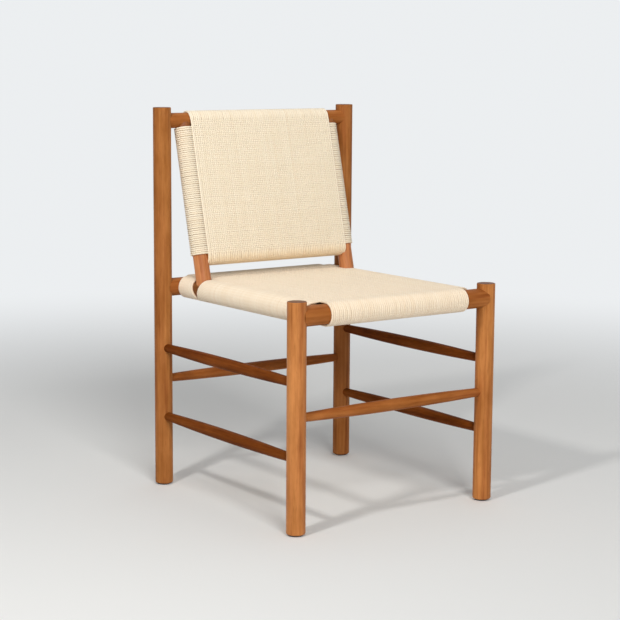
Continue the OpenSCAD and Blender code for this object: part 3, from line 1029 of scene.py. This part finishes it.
class CHAIR_OT_back_weft(bpy.types.Operator):
    """Wind the back's cords that run across, round the stiles"""

    bl_idname = "chair.back_weft"
    bl_label = "Back, across"

    def execute(self, context):
        w = context.scene.chair_weave
        rng = np.random.default_rng(14)
        plan = back_plan(w)
        x, s, out, turn, half_w, half_t = weft_loops(
            w, plan.rows, STILE_R, plan.pairs, plan.level, rng, True
        )
        path = on_the_back(x, s, out)
        outward = directions(turn, ACROSS, AHEAD)
        wind("back_weft", 2, path, outward, half_w, half_t, rng, "back_weave")

        x, s, out, half_w, half_t = short_rows(
            w, plan.short, len(plan.rows), plan.warp, plan.pairs, plan.level, rng
        )
        path = on_the_back(x, s, out)
        outward = np.sign(out)[..., None] * AHEAD
        wind("back_weft_top", 1, path, outward, half_w, half_t, rng, "back_weave", False)
        return {"FINISHED"}


def lamp(name, place, target, size, power, colour=(1, 1, 1)):
    """A square area lamp at place that faces target."""
    data = bpy.data.lights.new(name, "AREA")
    data.shape = "SQUARE"
    data.size = size
    data.energy = power
    data.color = colour
    made = bpy.data.objects.new(name, data)
    made.location = place
    made.rotation_mode = "QUATERNION"
    made.rotation_quaternion = (Vector(target) - Vector(place)).to_track_quat("-Z", "Y")
    made.visible_camera = False
    bpy.context.scene.collection.objects.link(made)


def seen_rays(tree):
    """1 on rays that show the background: from the camera, off gloss or through glass."""
    ray = add(tree, "LightPath").outputs
    seen = maths(tree, "MAXIMUM", ray["Is Camera Ray"], ray["Is Glossy Ray"])
    return maths(tree, "MAXIMUM", seen, ray["Is Transmission Ray"])


class CHAIR_OT_set_stage(bpy.types.Operator):
    """Lay the floor and set up lamps, background and camera"""

    bl_idname = "chair.set_stage"
    bl_label = "Stage"

    def execute(self, context):
        scene, look = context.scene, context.scene.chair_stage
        scene.view_settings.view_transform = "Standard"
        self.floor(scene, look)
        self.background(scene, look)
        lamp("Key lamp", (-1.87, -0.74, 2.14), (0, 0, 0.3), 0.22, look.key, (1, 0.985, 0.96))
        lamp("Front lamp", (-2.8, -8.0, 5.2), (0, 0, 0.3), 3.3, look.fill, (1, 0.995, 0.98))
        lamp("Overhead lamp", (2.2, 0.9, 4.5), (1.1, 0.5, 0), 4.0, look.overhead)
        self.camera(scene)
        return {"FINISHED"}

    def floor(self, scene, look):
        """A disc at z = 0, radius (cos a, sin a), whose colour fades to the background's."""
        radius, corners = 30.0, 96
        fade_from, fade_to = 0.9, 3.2
        a = 2 * math.pi * np.arange(corners) / corners
        rim = np.stack([radius * np.cos(a), radius * np.sin(a), 0 * a], axis=1)
        mesh = bpy.data.meshes.new("floor")
        mesh.from_pydata(rim.tolist(), [], [range(corners)])
        floor = bpy.data.objects.new("floor", mesh)
        scene.collection.objects.link(floor)

        m, t, skin = new_material("Floor")
        give(t, skin, Base_Color=look.floor, Roughness=0.8, Specular_IOR_Level=0.1)
        place = add(t, "TexCoord").outputs["Object"]
        far = add(t, "VectorMath", operation="LENGTH", Vector=place).outputs["Value"]
        fade = between(t, far, fade_from, fade_to, "SMOOTHSTEP")
        seen = maths(t, "MULTIPLY", fade, seen_rays(t))
        plain = add(t, "Emission", Color=look.wall)
        give(t, t.nodes["Material Output"], Surface=mix_shaders(t, seen, skin, plain))
        mesh.materials.append(m)

    def background(self, scene, look):
        """The background shows its own colour to the camera and lights evenly otherwise."""
        world = bpy.data.worlds.new("Studio")
        scene.world = world
        world.use_nodes = True
        t = world.node_tree
        t.nodes.clear()
        light = add(t, "Background", Color=(0.97, 0.985, 1.0), Strength=look.sky)
        shown = add(t, "Background", Color=look.wall, Strength=1.0)
        add(t, "OutputWorld", Surface=mix_shaders(t, seen_rays(t), light, shown))

    def camera(self, scene):
        """The photograph's view: azimuth -35.88, 8.61 degrees down, rolled by 0.37."""
        place = (-2.1086, -2.8725, 0.9286)
        az, down, roll = (math.radians(v) for v in (-35.884, 8.614, 0.37))
        focal_pixels, picture_pixels = 1724.0, 620.0
        level = Vector((math.cos(az), math.sin(az), 0))
        forward = Vector((-math.sin(az), math.cos(az), 0))
        ahead = forward * math.cos(down) - Vector((0, 0, math.sin(down)))
        top = level.cross(ahead)
        right = level * math.cos(roll) + top * math.sin(roll)
        up = top * math.cos(roll) - level * math.sin(roll)
        data = bpy.data.cameras.new("Camera")
        data.sensor_width = 36.0
        data.lens = data.sensor_width * focal_pixels / picture_pixels
        data.clip_start, data.clip_end = 0.05, 60.0
        eye = bpy.data.objects.new("Camera", data)
        turned = Matrix((right, up, -ahead)).transposed().to_4x4()
        eye.matrix_world = Matrix.Translation(place) @ turned
        scene.collection.objects.link(eye)
        scene.camera = eye


PIECES = (
    CHAIR_OT_finish_wood,
    CHAIR_OT_finish_feet,
    CHAIR_OT_seat_warp,
    CHAIR_OT_seat_weft,
    CHAIR_OT_back_warp,
    CHAIR_OT_back_weft,
    CHAIR_OT_set_stage,
)
SETTINGS = ("chair_weave", "chair_finish", "chair_stage")


class CHAIR_PT_parts(bpy.types.Panel):
    """Lists the chair's settings and the operators that make its parts"""

    bl_idname = "CHAIR_PT_parts"
    bl_label = "Chair"
    bl_space_type = "VIEW_3D"
    bl_region_type = "UI"
    bl_category = "Chair"

    def draw(self, context):
        for name in SETTINGS:
            settings = getattr(context.scene, name)
            box = self.layout.box()
            for key in settings.__annotations__:
                box.prop(settings, key)
        for piece in PIECES:
            self.layout.operator(piece.bl_idname)


CLASSES = (ChairWeave, ChairFinish, ChairStage, *PIECES, CHAIR_PT_parts)


def register():
    """Registers the classes and hangs the three groups of settings on the scene."""
    for cls in CLASSES:
        bpy.utils.register_class(cls)
    bpy.types.Scene.chair_weave = PointerProperty(type=ChairWeave)
    bpy.types.Scene.chair_finish = PointerProperty(type=ChairFinish)
    bpy.types.Scene.chair_stage = PointerProperty(type=ChairStage)


def unregister():
    """Takes back what register did, in the opposite order."""
    for name in SETTINGS:
        delattr(bpy.types.Scene, name)
    for cls in reversed(CLASSES):
        bpy.utils.unregister_class(cls)


def main():
    """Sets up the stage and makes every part."""
    register()
    bpy.ops.chair.set_stage()
    bpy.ops.chair.finish_wood()
    bpy.ops.chair.finish_feet()
    bpy.ops.chair.seat_warp()
    bpy.ops.chair.seat_weft()
    bpy.ops.chair.back_warp()
    bpy.ops.chair.back_weft()


if __name__ == "__main__":
    main()
